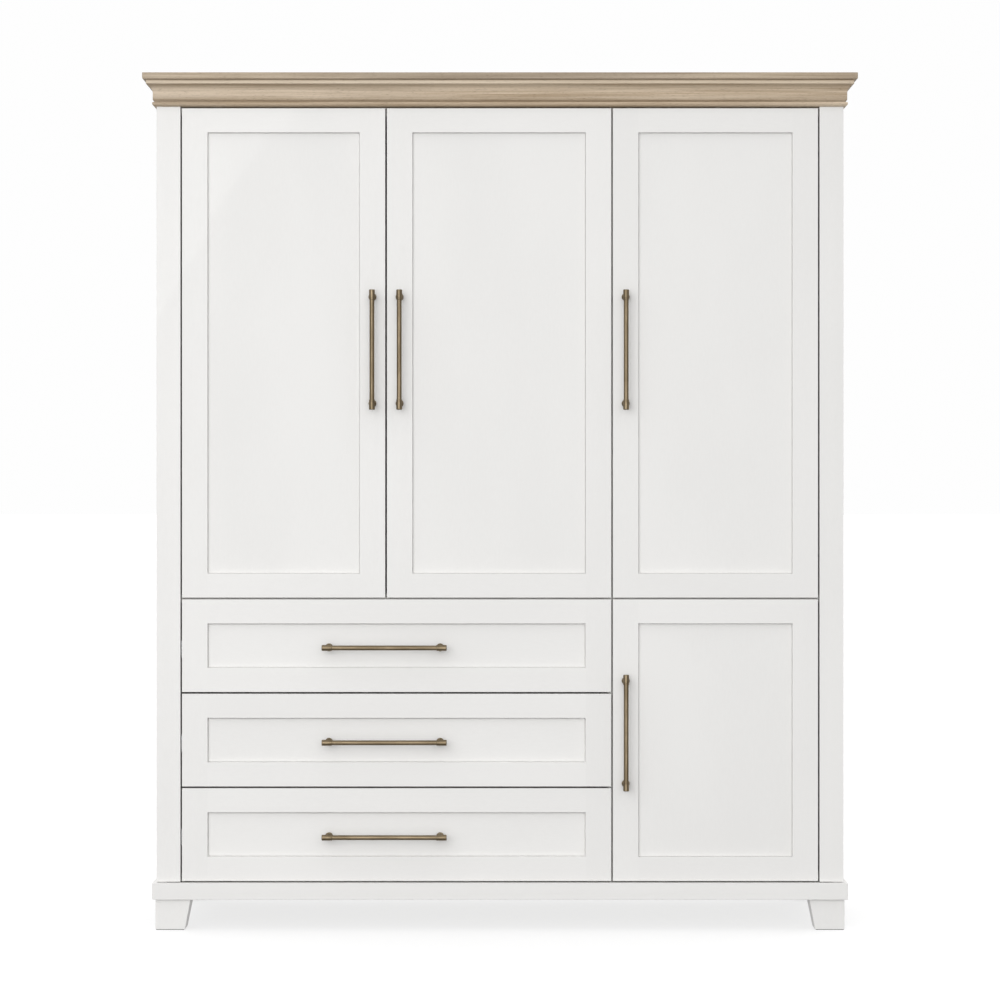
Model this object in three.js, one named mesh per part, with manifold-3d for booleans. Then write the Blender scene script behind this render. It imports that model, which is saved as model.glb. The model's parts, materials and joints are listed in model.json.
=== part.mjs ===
// A four-door, three-drawer armoire: a painted case on a plinth with tapered feet, under an oak cornice.
// Millimetres, +Z up, the front faces -Y, +X to the right of someone who faces the doors.
// The origin is on the floor, at the middle of the armoire's overall width and depth.
import * as THREE from "three";
import { mergeVertices } from "three/addons/utils/BufferGeometryUtils.js";
import Module from "manifold-3d";

const wasm = await Module();
wasm.setup();

// ---------------------------------------------------------------- driving dimensions

// Overall, over the cap board of the cornice
const OVERALL_W = 1524;
const OVERALL_D = 610;
const OVERALL_H = 1829;

// Base
const FOOT_TOP = 75; // a foot's square top
const FOOT_TAPER = 12.5; // how far its two inner faces lean in
const FOOT_H = 65;
const FOOT_INSET = 7; // from the plinth's outer edge
const PLINTH_H = 36;
const PLINTH_PROUD = 9; // beyond the posts, at the front and the sides
const PLINTH_RAIL_SPARE = 8; // how far a plinth rail reaches in past the foot under it

// Case
const POST_W = 51;
const POST_D = 45;
const END_RAIL_T = 22;
const END_RAIL_H = 80;
const END_PANEL_T = 9;
const LINING_T = 18; // inner wall, flush with the inside of the post
const BOARD_T = 18; // top, bottom, partition, fixed and loose shelves
const BACK_T = 6;
const BACK_INSET = 6; // from the back of the posts

// Fronts: doors and drawers lie flush with the posts
const REVEAL = 3; // gap round every front
const FRONT_T = 20;
const LEFT_DOOR_W = 435;
const RIGHT_DOOR_W = 439;
const LOWER_FRONT_H = 602.5;
const DRAWER_COUNT = 3;
const STILE_W = 55;
const RAIL_H = 52;
const RECESS = 8; // from the face of a frame to its panel
const DOOR_PANEL_T = 6;
const GROOVE_DEPTH = 9; // how far a panel's edge is let into its frame
const FIT = 0.3; // clearance between glued or slotted pieces
const DOOR_STOP_GAP = 2; // from the back of a front to the edges of the boards

// Cornice
const CAP_T = 14;
const CAP_PROUD = 28;
const CAP_EASE = 1.5; // chamfer along the lower edge of the cap
const CROWN_H = 56;
const CORNICE_GAP = 3; // from the top of the doors to the crown

// Pulls: a bar through two sleeved ends, each on a post
const BAR_D = 10.4;
const SLEEVE_D = 12.6;
const SLEEVE_L = 22;
const PULL_STANDOFF = 30; // from the face of the front to the bar's axis
const PULL_STEM_D = 10;
const PULL_BASE_D = 17;
const PULL_BASE_T = 5;
const PULL_END = 14.3; // from the bar's end to the post's axis
const WARDROBE_PULL_L = 256;
const LOWER_PULL_L = 248;
const DRAWER_PULL_L = 266;
const WARDROBE_PULL_Z = 529; // from the bottom of an upper door to the middle of its pull
const LOWER_PULL_Z = 318.5;
const DRAWER_PULL_X = -25.5; // from the middle of the drawer
const DRAWER_PULL_DROP = 3.4; // below the middle of the drawer

// Drawer boxes and their runners
const DRAWER_SIDE_T = 12;
const DRAWER_BOTTOM_T = 6;
const DRAWER_BOX_H = 140;
const DRAWER_BOX_RISE = 22; // from the bottom of the front to the bottom of the box
const DRAWER_BOTTOM_RISE = 10;
const DRAWER_BACK_CLEARANCE = 47;
const RUNNER_SPACE = 13; // between the box and the wall
const RUNNER_CLEARANCE = 1; // between the runner and the box
const RUNNER_H = 35;
const RUNNER_WALL = 1.5;
const RUNNER_LIP = 6;

// Inside
const SHELF_CLEARANCE = 1;
const SHELF_SETBACK = 20;
const UPPER_SHELVES = 2;
const RAIL_D = 25;
const RAIL_WALL = 1.5;
const RAIL_DROP = 60; // from the top board to the rail's axis

// Cup hinges, the half that is screwed to the case
const HINGE_FROM_END = 100; // from the end of a door to the hinge's middle
const HINGE_ARM_L = 62;
const HINGE_ARM_W = 14;
const HINGE_ARM_T = 9;
const HINGE_PLATE_L = 18;
const HINGE_PLATE_W = 54;
const HINGE_PLATE_T = 3;
const HINGE_PLATE_BACK = 26; // from the front of the arm to the plate

// Facets of the round pieces, and the grid that every corner lies on
const ROUND_SIDES = 16;
const CURVE_STEPS = 6;
const GRID = 0.01;

// ---------------------------------------------------------------- places worked out from them

const caseW = OVERALL_W - 2 * CAP_PROUD;
const caseD = OVERALL_D - CAP_PROUD;
const half = caseW / 2;
const inner = half - POST_W; // inside of the posts and the linings
const pullReach = PULL_STANDOFF + SLEEVE_D / 2;
const crownSeat = POST_W - LINING_T; // how far the crown moulding reaches in over the posts
const runnerD = RUNNER_SPACE - RUNNER_CLEARANCE;
const plinthRailW = FOOT_INSET + FOOT_TOP + PLINTH_RAIL_SPARE;

const front = -(caseD - pullReach) / 2; // plane of the posts' and doors' faces
const back = front + caseD;
const boardFront = front + FRONT_T + DOOR_STOP_GAP;
const boardBack = back - BACK_INSET - BACK_T;

const plinthTop = FOOT_H + PLINTH_H;
const lowerBottom = plinthTop + REVEAL;
const lowerTop = lowerBottom + LOWER_FRONT_H;
const upperBottom = lowerTop + REVEAL;
const caseTop = OVERALL_H - CAP_T - CROWN_H;
const upperTop = caseTop - CORNICE_GAP;
const drawerH = (LOWER_FRONT_H - (DRAWER_COUNT - 1) * REVEAL) / DRAWER_COUNT;

const floorBoardTop = plinthTop + BOARD_T;
const middleBoard = (lowerTop + upperBottom - BOARD_T) / 2; // underside of the fixed shelves
const middleBoardTop = middleBoard + BOARD_T;
const topBoard = caseTop - BOARD_T;

const leftDoorX = -inner + REVEAL;
const rightDoorX = inner - REVEAL - RIGHT_DOOR_W;
const middleDoorX = leftDoorX + LEFT_DOOR_W + REVEAL;
const middleDoorW = rightDoorX - REVEAL - middleDoorX;
const drawerW = LEFT_DOOR_W + REVEAL + middleDoorW;
const partitionLeft = rightDoorX - (REVEAL + BOARD_T) / 2;
const partitionRight = partitionLeft + BOARD_T;

// ---------------------------------------------------------------- materials

const paint = new THREE.MeshStandardMaterial({ color: 0xecebe9, roughness: 0.45 });
const oak = new THREE.MeshStandardMaterial({ color: 0xb9a68c, roughness: 0.6 });
const brass = new THREE.MeshStandardMaterial({ color: 0x8a7a5c, roughness: 0.4, metalness: 1 });
const birch = new THREE.MeshStandardMaterial({ color: 0xd9c6a3, roughness: 0.55 });
const steel = new THREE.MeshStandardMaterial({ color: 0xb8bbbe, roughness: 0.35, metalness: 1 });

// ---------------------------------------------------------------- solids

/** A closed three.js geometry as a solid that can be joined and cut. */
function solidOf(geometry) {
  const bare = geometry.clone();
  bare.deleteAttribute("normal");
  bare.deleteAttribute("uv");
  const merged = mergeVertices(bare, 1e-4);
  return new wasm.Manifold(
    new wasm.Mesh({
      numProp: 3,
      vertProperties: merged.attributes.position.array,
      triVerts: new Uint32Array(merged.index.array),
    }),
  );
}

/** A solid as a three.js geometry, its corners on the grid, so that faces that meet share one plane. */
function geometryOf(solid) {
  const mesh = solid.getMesh();
  const corners = mesh.vertProperties.map((v) => Math.round(v / GRID) * GRID);
  return new THREE.BufferGeometry()
    .setAttribute("position", new THREE.BufferAttribute(corners, 3))
    .setIndex(new THREE.BufferAttribute(mesh.triVerts, 1));
}

/** A board between two corners, given as [x0, x1], [y0, y1], [z0, z1]. */
function board([x0, x1], [y0, y1], [z0, z1]) {
  const box = new THREE.BoxGeometry(x1 - x0, y1 - y0, z1 - z0);
  return solidOf(box.translate((x0 + x1) / 2, (y0 + y1) / 2, (z0 + z1) / 2));
}

/** A shape drawn in its own plane and pushed through a depth, then turned to stand along an axis. */
function extrusion(shape, depth) {
  return new THREE.ExtrudeGeometry(shape, { depth, bevelEnabled: false, curveSegments: CURVE_STEPS });
}

/** An outline drawn as (x, z), pushed along +Y from y0 to y1. */
function alongY(shape, y0, y1) {
  return solidOf(extrusion(shape, y1 - y0).rotateX(Math.PI / 2).translate(0, y1, 0));
}

/** An outline drawn as (y, z), pushed along +X from x0 to x1. */
function alongX(shape, x0, x1) {
  const turned = extrusion(shape, x1 - x0).rotateX(Math.PI / 2).rotateZ(Math.PI / 2);
  return solidOf(turned.translate(x0, 0, 0));
}

/** An outline drawn as (x, y), pushed along +Z from z0 to z1. */
function alongZ(shape, z0, z1) {
  return solidOf(extrusion(shape, z1 - z0).translate(0, 0, z0));
}

/** A closed outline through the given points. */
function outline(points) {
  return new THREE.Shape(points.map(([u, v]) => new THREE.Vector2(u, v)));
}

/** A rod of the given diameter along X, Y or Z, from a point on its axis. */
function rod(axis, diameter, length, [x, y, z]) {
  const radius = diameter / 2;
  const cylinder = new THREE.CylinderGeometry(radius, radius, length, ROUND_SIDES);
  if (axis === "x") cylinder.rotateZ(-Math.PI / 2).translate(length / 2, 0, 0);
  if (axis === "y") cylinder.translate(0, length / 2, 0);
  if (axis === "z") cylinder.rotateX(Math.PI / 2).translate(0, 0, length / 2);
  return solidOf(cylinder.translate(x, y, z));
}

const join = (solids) => solids.reduce((sum, next) => sum.add(next));

const armoire = new THREE.Group();
armoire.name = "armoire";

/** Puts a solid into a group as a named mesh. */
function piece(group, name, solid, material) {
  const mesh = new THREE.Mesh(geometryOf(solid), material);
  mesh.name = name;
  group.add(mesh);
}

// ---------------------------------------------------------------- base

/** A foot's side view: upright outside, leaning inside. `side` is -1 or 1, where the outside is. */
function footOutline(outside, side) {
  const top = outside - side * FOOT_TOP;
  const bottom = top + side * FOOT_TAPER;
  return outline([
    [outside, 0],
    [outside, FOOT_H],
    [top, FOOT_H],
    [bottom, 0],
  ]);
}

/** A square foot whose two inner faces lean in towards the floor. */
function foot(sideX, sideY) {
  const outsideX = sideX * (half + PLINTH_PROUD - FOOT_INSET);
  const outsideY = sideY < 0 ? front - PLINTH_PROUD + FOOT_INSET : back - FOOT_INSET;
  const across = alongY(footOutline(outsideX, sideX), front - FOOT_TOP, back + FOOT_TOP);
  const along = alongX(footOutline(outsideY, sideY), -OVERALL_W, OVERALL_W);
  return across.intersect(along);
}

/** The flat mitred frame that the case stands on. */
function plinthFrame() {
  const z = [FOOT_H, plinthTop];
  const wide = half + PLINTH_PROUD;
  const whole = board([-wide, wide], [front - PLINTH_PROUD, back], z);
  const hollowX = [-wide + plinthRailW, wide - plinthRailW];
  const hollowY = [front - PLINTH_PROUD + plinthRailW, back - plinthRailW];
  return whole.subtract(board(hollowX, hollowY, [0, OVERALL_H]));
}

const base = new THREE.Group();
for (const [sideX, nameX] of [[-1, "left"], [1, "right"]]) {
  for (const [sideY, nameY] of [[-1, "front"], [1, "rear"]]) {
    piece(base, `${nameY}_${nameX}_foot`, foot(sideX, sideY), paint);
  }
}
piece(base, "plinth_frame", plinthFrame(), paint);

// ---------------------------------------------------------------- ends of the case

/** The two corners of a span, in order, on the left (-1) or the right (1) side. */
function spanX(side, outer, innerEdge) {
  return side < 0 ? [-outer, -innerEdge] : [innerEdge, outer];
}

const endFace = half; // outer face of the end frame
const endPanelFace = endFace - RECESS;
const panelY = [front + POST_D, back - POST_D];
const panelZ = [plinthTop + END_RAIL_H, caseTop - END_RAIL_H];

/** Grows a span at both ends. */
const grow = ([a, b], by) => [a - by, b + by];

/** The panel of an end frame, with its edges let into the frame's grooves. */
function endPanel(side, spare) {
  return board(
    grow(spanX(side, endPanelFace, endPanelFace - END_PANEL_T), spare),
    grow(panelY, GROOVE_DEPTH + spare),
    grow(panelZ, GROOVE_DEPTH + spare),
  );
}

/** Front post, rear post and two rails, glued up as one frame and grooved for the panel. */
function endFrame(side) {
  const z = [plinthTop, caseTop];
  const rail = spanX(side, endFace, endFace - END_RAIL_T);
  const parts = [
    board(spanX(side, endFace, inner), [front, front + POST_D], z),
    board(spanX(side, endFace, inner + LINING_T), [back - POST_D, back], z),
    board(rail, panelY, [plinthTop, panelZ[0]]),
    board(rail, panelY, [panelZ[1], caseTop]),
  ];
  return join(parts).subtract(endPanel(side, FIT));
}

const ends = new THREE.Group();
for (const [side, name] of [[-1, "left"], [1, "right"]]) {
  const lining = board(
    spanX(side, inner + LINING_T, inner),
    [front + POST_D, boardBack],
    [plinthTop, caseTop],
  );
  piece(ends, `${name}_end_frame`, endFrame(side), paint);
  piece(ends, `${name}_end_panel`, endPanel(side, 0), paint);
  piece(ends, `${name}_lining`, lining, paint);
}

// ---------------------------------------------------------------- boards inside the case

const boardY = [boardFront, boardBack];
const cupboardX = [partitionRight, inner];
const boards = new THREE.Group();

piece(boards, "bottom_board", board([-inner, inner], boardY, [plinthTop, floorBoardTop]), paint);
piece(boards, "top_board", board([-inner, inner], boardY, [topBoard, caseTop]), paint);
piece(
  boards,
  "centre_partition",
  board([partitionLeft, partitionRight], boardY, [floorBoardTop, topBoard]),
  paint,
);
piece(
  boards,
  "wardrobe_floor",
  board([-inner, partitionLeft], boardY, [middleBoard, middleBoardTop]),
  paint,
);
piece(boards, "cupboard_divider", board(cupboardX, boardY, [middleBoard, middleBoardTop]), paint);
piece(
  boards,
  "back_panel",
  board(
    grow([-inner - LINING_T, inner + LINING_T], -FIT),
    [boardBack, boardBack + BACK_T],
    [plinthTop, caseTop + CROWN_H],
  ),
  paint,
);

/** A loose shelf in the right-hand cupboards, with its underside at a height. */
function shelf(underside) {
  return board(
    grow(cupboardX, -SHELF_CLEARANCE),
    [boardFront + SHELF_SETBACK, boardBack - SHELF_CLEARANCE],
    [underside, underside + BOARD_T],
  );
}

const upperShelfPitch = (topBoard - middleBoardTop + BOARD_T) / (UPPER_SHELVES + 1);
for (let i = 1; i <= UPPER_SHELVES; i++) {
  const underside = middleBoardTop + i * upperShelfPitch - BOARD_T;
  piece(boards, `upper_shelf_${i}`, shelf(underside), paint);
}
piece(boards, "lower_shelf", shelf((floorBoardTop + middleBoard - BOARD_T) / 2), paint);

/** The tube that the hangers hang on. */
function hangingRail() {
  const start = [-inner, (boardFront + boardBack) / 2, topBoard - RAIL_DROP];
  const length = partitionLeft + inner;
  const bore = rod("x", RAIL_D - 2 * RAIL_WALL, length + 2, [start[0] - 1, start[1], start[2]]);
  return rod("x", RAIL_D, length, start).subtract(bore);
}
piece(boards, "hanging_rail", hangingRail(), steel);

// ---------------------------------------------------------------- cornice

/** The crown moulding's section: u is outward from the face it stands on, v is up from its seat. */
function crownSection() {
  const bead = { foot: 1, proud: 8.7, middle: 6.5, top: 10, shoulder: 0.6 };
  const quirk = { u: 4.4, v: 13.8 };
  const friezeU = 7.4;
  const cove = { foot: 28.5, u: 20.3, v: 47, pull: 8 };
  const fillet = 20.8;
  const shape = new THREE.Shape();
  shape.moveTo(-crownSeat, 0);
  shape.lineTo(bead.foot, 0);
  shape.quadraticCurveTo(bead.proud, bead.foot, bead.proud, bead.middle);
  shape.quadraticCurveTo(bead.proud, bead.top - bead.shoulder, quirk.u, bead.top);
  shape.lineTo(quirk.u, quirk.v);
  shape.lineTo(friezeU, quirk.v);
  shape.lineTo(friezeU, cove.foot);
  shape.quadraticCurveTo(friezeU, cove.v - cove.pull, cove.u, cove.v);
  shape.lineTo(fillet, cove.v);
  shape.lineTo(fillet, CROWN_H);
  shape.lineTo(-crownSeat, CROWN_H);
  shape.closePath();
  return shape;
}

/** The section carried over into another frame: u and v become whatever `place` says. */
function placed(shape, place) {
  const points = shape.getPoints(CURVE_STEPS).map((p) => place(p.x, p.y));
  return new THREE.Shape(points.map(([a, b]) => new THREE.Vector2(a, b)));
}

/** Everything in front of the two mitres, as a tall prism. */
function mitreWedge(kerf) {
  const reach = caseD * 2;
  const left = [-half + kerf, front];
  const right = [half - kerf, front];
  const shape = outline([
    [left[0] + crownSeat * 2, left[1] + crownSeat * 2],
    [left[0] - reach, left[1] - reach],
    [right[0] + reach, right[1] - reach],
    [right[0] - crownSeat * 2, right[1] + crownSeat * 2],
  ]);
  return alongZ(shape, 0, OVERALL_H * 2);
}

const cornice = new THREE.Group();
const long = half + CAP_PROUD;
const frontSection = placed(crownSection(), (u, v) => [front - u, caseTop + v]);
piece(
  cornice,
  "crown_front",
  alongX(frontSection, -long, long).intersect(mitreWedge(FIT)),
  oak,
);
for (const [side, name] of [[-1, "left"], [1, "right"]]) {
  const section = placed(crownSection(), (u, v) => [side * (half + u), caseTop + v]);
  const moulding = alongY(section, front - CAP_PROUD, back).subtract(mitreWedge(-FIT));
  piece(cornice, `crown_${name}`, moulding, oak);
}

/** The cap's side view between two edges, the lower ones chamfered where `ease` says so. */
function capOutline([a, b], [easeA, easeB]) {
  const bottom = caseTop + CROWN_H;
  return outline([
    [a, OVERALL_H],
    [a, bottom + easeA],
    [a + easeA, bottom],
    [b - easeB, bottom],
    [b, bottom + easeB],
    [b, OVERALL_H],
  ]);
}

const capAcross = alongY(capOutline([-long, long], [CAP_EASE, CAP_EASE]), front - CAP_PROUD, back);
const capAlong = alongX(capOutline([front - CAP_PROUD, back], [CAP_EASE, 0]), -long, long);
piece(cornice, "cap_board", capAcross.intersect(capAlong), oak);

// ---------------------------------------------------------------- doors and drawers

/** A frame with square edges: the whole front less its opening. */
function frameBlank(x, z) {
  const y = [front, front + FRONT_T];
  const opening = board(grow(x, -STILE_W), [front - 1, front + FRONT_T + 1], grow(z, -RAIL_H));
  return board(x, y, z).subtract(opening);
}

/** The flat panel of a door, with its edges let into the frame's grooves. */
function doorPanel(x, z, spare) {
  return board(
    grow(x, GROOVE_DEPTH - STILE_W + spare),
    grow([front + RECESS, front + RECESS + DOOR_PANEL_T], spare),
    grow(z, GROOVE_DEPTH - RAIL_H + spare),
  );
}

/** A bar pull on the face of a front, along "x" or "z", with its middle at (x, z). */
function pull(axis, length, x, z) {
  const y = front - PULL_STANDOFF;
  const at = (along) => (axis === "x" ? [x + along, y, z] : [x, y, z + along]);
  const parts = [rod(axis, BAR_D, length, at(-length / 2))];
  for (const end of [-1, 1]) {
    const sleeveStart = end < 0 ? -length / 2 : length / 2 - SLEEVE_L;
    const [postX, , postZ] = at(end * (length / 2 - PULL_END));
    parts.push(rod(axis, SLEEVE_D, SLEEVE_L, at(sleeveStart)));
    parts.push(rod("y", PULL_STEM_D, PULL_STANDOFF, [postX, y, postZ]));
    parts.push(rod("y", PULL_BASE_D, PULL_BASE_T, [postX, front - PULL_BASE_T, postZ]));
  }
  return join(parts);
}

/** A framed door with its panel and its pull. `pullSide` is -1 or 1: the edge that the pull is near. */
function door(name, x, z, pullSide, pullLength, pullZ) {
  const group = new THREE.Group();
  const pullX = pullSide < 0 ? x[0] + STILE_W / 2 : x[1] - STILE_W / 2;
  piece(group, `${name}_frame`, frameBlank(x, z).subtract(doorPanel(x, z, FIT)), paint);
  piece(group, `${name}_panel`, doorPanel(x, z, 0), paint);
  piece(group, `${name}_pull`, pull("z", pullLength, pullX, z[0] + pullZ), brass);
  armoire.add(group);
}

const upperZ = [upperBottom, upperTop];
const lowerZ = [lowerBottom, lowerTop];
const leftDoor = [leftDoorX, leftDoorX + LEFT_DOOR_W];
const middleDoor = [middleDoorX, middleDoorX + middleDoorW];
const rightDoor = [rightDoorX, rightDoorX + RIGHT_DOOR_W];
door("wardrobe_left_door", leftDoor, upperZ, 1, WARDROBE_PULL_L, WARDROBE_PULL_Z);
door("wardrobe_right_door", middleDoor, upperZ, -1, WARDROBE_PULL_L, WARDROBE_PULL_Z);
door("upper_cupboard_door", rightDoor, upperZ, -1, WARDROBE_PULL_L, WARDROBE_PULL_Z);
door("lower_cupboard_door", rightDoor, lowerZ, -1, LOWER_PULL_L, LOWER_PULL_Z);

const drawerX = [leftDoorX, leftDoorX + drawerW];
const drawerBoxX = [-inner + RUNNER_SPACE, partitionLeft - RUNNER_SPACE];
const drawerBoxY = [front + FRONT_T, boardBack - DRAWER_BACK_CLEARANCE];

/** A drawer front worked from one board, its field sunk to the depth of the door panels. */
function drawerFront(z) {
  const field = board(grow(drawerX, -STILE_W), [front - 1, front + RECESS], grow(z, -RAIL_H));
  return board(drawerX, [front, front + FRONT_T], z).subtract(field);
}

/** Four sides and a bottom, glued up. */
function drawerBox(bottom) {
  const z = [bottom, bottom + DRAWER_BOX_H];
  const insideX = grow(drawerBoxX, -DRAWER_SIDE_T);
  const insideY = grow(drawerBoxY, -DRAWER_SIDE_T);
  const floor = bottom + DRAWER_BOTTOM_RISE;
  const hollow = board(insideX, insideY, [floor + DRAWER_BOTTOM_T, z[1] + 1]);
  const underside = board(insideX, insideY, [bottom - 1, floor]);
  return board(drawerBoxX, drawerBoxY, z).subtract(hollow).subtract(underside);
}

/** The channel of a runner, open towards the drawer. `side` is -1 on the left wall, 1 on the right. */
function runner(side, z) {
  const wall = side < 0 ? -inner : partitionLeft;
  const [low, high] = [z - RUNNER_H / 2, z + RUNNER_H / 2];
  const at = (depth) => wall - side * depth;
  const open = grow([low, high], -RUNNER_WALL);
  const lip = grow([low, high], -RUNNER_WALL - RUNNER_LIP);
  const spanOf = (a, b) => [Math.min(at(a), at(b)), Math.max(at(a), at(b))];
  const y = [boardFront, drawerBoxY[1]];
  const past = grow(y, 1);
  return board(spanOf(0, runnerD), y, [low, high])
    .subtract(board(spanOf(RUNNER_WALL, runnerD - RUNNER_WALL), past, open))
    .subtract(board(spanOf(RUNNER_WALL, runnerD + 1), past, lip));
}

const drawerNames = ["top_drawer", "middle_drawer", "bottom_drawer"];
const drawerMiddleX = (drawerX[0] + drawerX[1]) / 2;
drawerNames.forEach((name, i) => {
  const top = lowerTop - i * (drawerH + REVEAL);
  const bottom = top - drawerH;
  const boxBottom = bottom + DRAWER_BOX_RISE;
  const pullZ = (top + bottom) / 2 - DRAWER_PULL_DROP;
  const group = new THREE.Group();
  piece(group, `${name}_front`, drawerFront([bottom, top]), paint);
  piece(group, `${name}_box`, drawerBox(boxBottom), birch);
  piece(
    group,
    `${name}_pull`,
    pull("x", DRAWER_PULL_L, drawerMiddleX + DRAWER_PULL_X, pullZ),
    brass,
  );
  for (const [side, sideName] of [[-1, "left"], [1, "right"]]) {
    const middle = boxBottom + DRAWER_BOX_H / 2;
    piece(group, `${name}_runner_${sideName}`, runner(side, middle), steel);
  }
  armoire.add(group);
});

// ---------------------------------------------------------------- cup hinges

/** Plate and arm on a wall at x, reaching to the back of the door. `into` is the way into the bay. */
function hingeArm(wall, into, z) {
  const start = boardFront;
  const spanOf = (thick) => (into > 0 ? [wall, wall + thick] : [wall - thick, wall]);
  const tall = (width) => [z - width / 2, z + width / 2];
  const plateY = [start + HINGE_PLATE_BACK, start + HINGE_PLATE_BACK + HINGE_PLATE_L];
  return join([
    board(spanOf(HINGE_PLATE_T), plateY, tall(HINGE_PLATE_W)),
    board(spanOf(HINGE_PLATE_T + HINGE_ARM_T), [start, start + HINGE_ARM_L], tall(HINGE_ARM_W)),
  ]);
}

const hinges = new THREE.Group();
const hingeWalls = [
  ["wardrobe_left_door", -inner, 1, upperZ],
  ["wardrobe_right_door", partitionLeft, -1, upperZ],
  ["upper_cupboard_door", inner, -1, upperZ],
  ["lower_cupboard_door", inner, -1, lowerZ],
];
for (const [name, wall, into, [bottom, top]] of hingeWalls) {
  piece(hinges, `${name}_hinge_low`, hingeArm(wall, into, bottom + HINGE_FROM_END), steel);
  piece(hinges, `${name}_hinge_high`, hingeArm(wall, into, top - HINGE_FROM_END), steel);
}

armoire.add(base, ends, boards, cornice, hinges);
export default armoire;
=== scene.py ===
# %% [markdown]
# # A painted armoire under an oak cornice
#
# The design, with its sizes and joints, is already made: it comes in as a fixed frame of plain solids.
# This lesson gives each of them the edges, joints, fittings and finishes of the real cabinet. Every
# place is measured from that frame, so nothing here has to be fitted by eye.

# %% Load the fixed frame
import json
import math
import random

import bmesh
import bpy
from mathutils import Matrix, Vector


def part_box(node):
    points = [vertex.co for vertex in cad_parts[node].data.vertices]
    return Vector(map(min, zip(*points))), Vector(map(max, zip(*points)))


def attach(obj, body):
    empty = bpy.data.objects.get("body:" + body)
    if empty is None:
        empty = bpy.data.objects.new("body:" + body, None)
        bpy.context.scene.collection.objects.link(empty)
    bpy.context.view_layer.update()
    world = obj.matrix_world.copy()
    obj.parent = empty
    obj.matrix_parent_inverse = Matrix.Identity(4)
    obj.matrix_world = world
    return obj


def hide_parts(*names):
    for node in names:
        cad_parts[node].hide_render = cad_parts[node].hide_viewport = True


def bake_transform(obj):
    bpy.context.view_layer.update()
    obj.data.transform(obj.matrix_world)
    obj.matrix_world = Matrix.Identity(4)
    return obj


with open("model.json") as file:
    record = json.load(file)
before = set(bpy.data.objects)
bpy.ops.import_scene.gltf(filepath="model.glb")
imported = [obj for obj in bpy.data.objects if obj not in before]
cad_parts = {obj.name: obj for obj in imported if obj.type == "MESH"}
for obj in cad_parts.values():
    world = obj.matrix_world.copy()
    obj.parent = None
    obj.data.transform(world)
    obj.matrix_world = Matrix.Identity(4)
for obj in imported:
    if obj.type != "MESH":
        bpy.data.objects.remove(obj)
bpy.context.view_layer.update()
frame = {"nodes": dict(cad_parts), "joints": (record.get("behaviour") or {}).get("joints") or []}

MM = 0.001
scene = bpy.context.scene

# %% [markdown]
# ## Camera
#
# A cabinet is shown square on, from far away and at half its height, so that its uprights stay
# upright and its edges parallel. A long lens on a distant camera does that. The distance is taken from
# the face of the doors, and the lens from the width that has to fit.

# %% Camera
door_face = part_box("wardrobe_left_door_frame")[0].y
CAMERA_DISTANCE = 7.0
CAMERA_HEIGHT = 0.9185
WIDTH_IN_VIEW = 2.137
SENSOR = 36.0

lens = bpy.data.cameras.new("camera")
lens.sensor_width = SENSOR
lens.lens = SENSOR * CAMERA_DISTANCE / WIDTH_IN_VIEW
camera = bpy.data.objects.new("camera", lens)
camera.location = (0, door_face - CAMERA_DISTANCE, CAMERA_HEIGHT)
camera.rotation_euler = (math.radians(90), 0, 0)
scene.collection.objects.link(camera)
scene.camera = camera
print("lens:", round(lens.lens, 1), "mm")

# %% [markdown]
# ## Expressions for materials
#
# A finish is a small tree of nodes. Wiring it by hand hides the idea, so one class wraps a socket and
# lets Python's own operators add the Math nodes: `1 - mask * 0.3` reads as what it does. A second class
# is the finish itself, with one method that adds any other node. Only what changes over a surface is
# wired. A number that is the same everywhere is set straight on the shader.

# %% Sockets that can be added and multiplied
class Value:
    """A number that changes over a surface."""

    def __init__(self, finish, socket):
        self.finish = finish
        self.socket = socket

    def _math(self, operation, a, b):
        return self.finish.node("ShaderNodeMath", {"operation": operation}, {0: a, 1: b})

    def __add__(self, other):
        return self._math("ADD", self, other)

    def __radd__(self, other):
        return self._math("ADD", other, self)

    def __sub__(self, other):
        return self._math("SUBTRACT", self, other)

    def __rsub__(self, other):
        return self._math("SUBTRACT", other, self)

    def __mul__(self, other):
        return self._math("MULTIPLY", self, other)

    def __rmul__(self, other):
        return self._math("MULTIPLY", other, self)


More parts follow.
